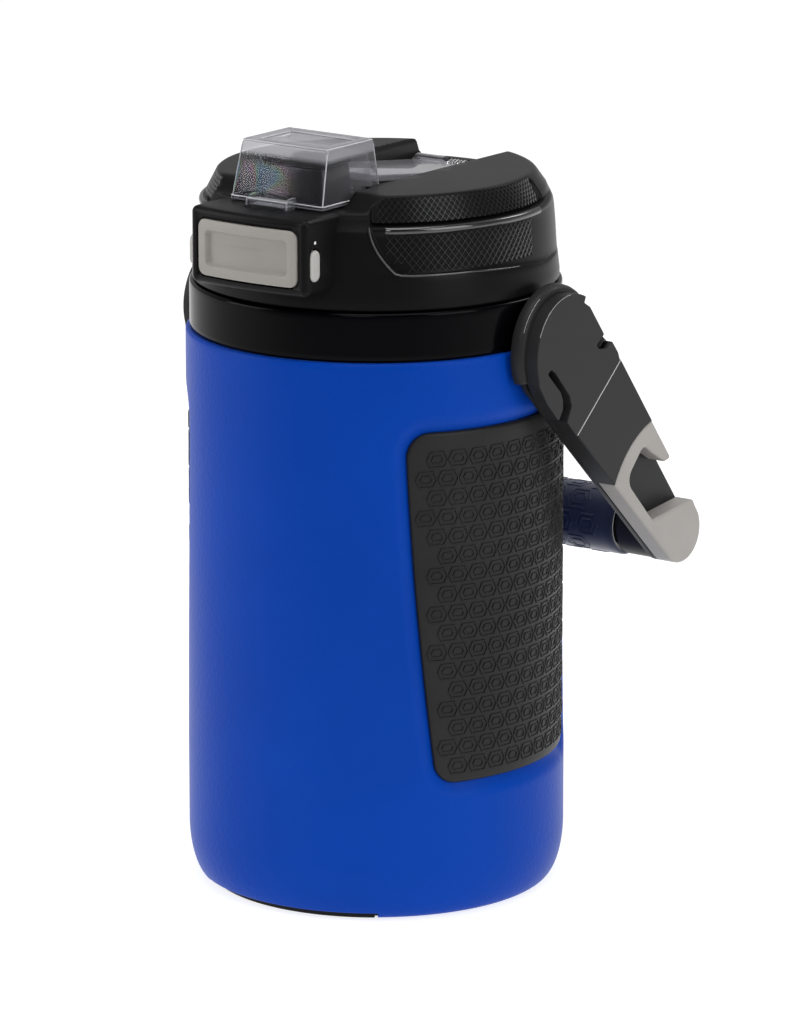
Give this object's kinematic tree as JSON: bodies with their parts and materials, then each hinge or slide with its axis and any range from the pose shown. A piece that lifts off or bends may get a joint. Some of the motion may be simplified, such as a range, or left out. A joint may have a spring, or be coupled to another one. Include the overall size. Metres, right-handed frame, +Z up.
{
  "type": "insulated water jug",
  "caption": "Insulated jug with a screw lid, flip cap over a spout, push-button latch with lock, side grips and a swinging handle with open hooks.",
  "frame": {"origin": "centre of the flat foot, on the jug's axis", "axes": "+Z up along the jug, -Y towards the front with its button, +X towards the right-hand grip; the handle hangs at the back, +Y"},
  "size_m": [0.162, 0.1749, 0.2847],
  "materials": {
    "shell_blue": "satin, fine leather grain",
    "pad_rubber": "matt",
    "grip_rubber": "matt with raised hexagon lines",
    "collar_black": "glossy",
    "lid_black": "satin, knurled side grips",
    "arm_black": "satin",
    "hook_grey": "fine satin",
    "button_grey": "fine satin",
    "lock_grey": "fine satin",
    "sleeve_navy": "soft, embossed",
    "rod_black": "plain",
    "cap_clear": "clear, polished",
    "spout_black": "glossy",
    "seal_black": "matt",
    "silicone": "matt",
    "foam_cream": "foamed",
    "liner_white": "smooth",
    "insert_black": "plain",
    "steel": "bright"
  },
  "bodies": {
    "jug": {"outer_shell": "shell_blue", "foam_insulation": "foam_cream", "inner_liner": "liner_white", "foot_pad": "pad_rubber", "grip_panel_right": "grip_rubber", "grip_panel_left": "grip_rubber", "neck_collar": "collar_black", "pivot_screw_right": "steel", "pivot_screw_left": "steel"},
    "handle": {"handle_arm_right": "arm_black", "handle_arm_left": "arm_black", "hub_cover_right": "arm_black", "hub_cover_left": "arm_black", "fence_hook_right": "hook_grey", "fence_hook_left": "hook_grey", "handle_bar": "rod_black", "handle_grip": "sleeve_navy", "bar_screw_right": "steel", "bar_screw_left": "steel"},
    "gasket": {"lid_gasket": "silicone"},
    "lid": {"lid_shell": "lid_black", "lid_insert": "insert_black", "spout": "spout_black", "cap_hinge_pin": "steel", "cap_spring": "steel", "button_spring": "steel"},
    "cap": {"spout_cap": "cap_clear", "cap_seal": "seal_black"},
    "button": {"button": "button_grey"},
    "lock": {"lock_slider": "lock_grey"}
  },
  "joints": [
    {"name": "handle_swing", "type": "hinge", "parent": "jug", "child": "handle", "pos_m": [0, 0.0092, 0.2074], "axis": [1, 0, 0], "range_deg": [0, 155]},
    {"name": "lid_lift", "type": "slide", "parent": "jug", "child": "gasket", "axis": [0, 0, 1], "range_m": [0, 0.008]},
    {"name": "lid_turn", "type": "hinge", "parent": "gasket", "child": "lid", "pos_m": [0, 0, 0.2478], "axis": [0, 0, 1], "range_deg": [0, 720]},
    {"name": "cap_flip", "type": "hinge", "parent": "lid", "child": "cap", "pos_m": [0, 0.052, 0.2595], "axis": [-1, 0, 0], "range_deg": [0, 100]},
    {"name": "button_press", "type": "slide", "parent": "lid", "child": "button", "axis": [0, 1, 0], "range_m": [0, 0.0022], "stiffness_N_per_m": 400, "springref_m": -0.002},
    {"name": "lock_slide", "type": "slide", "parent": "lid", "child": "lock", "axis": [1, 0, 0], "range_m": [0, 0.0023]}
  ],
  "couplings": [
    {"joint": "lid_lift", "follows": "lid_turn", "m_per_rad": 0.0006366}
  ]
}
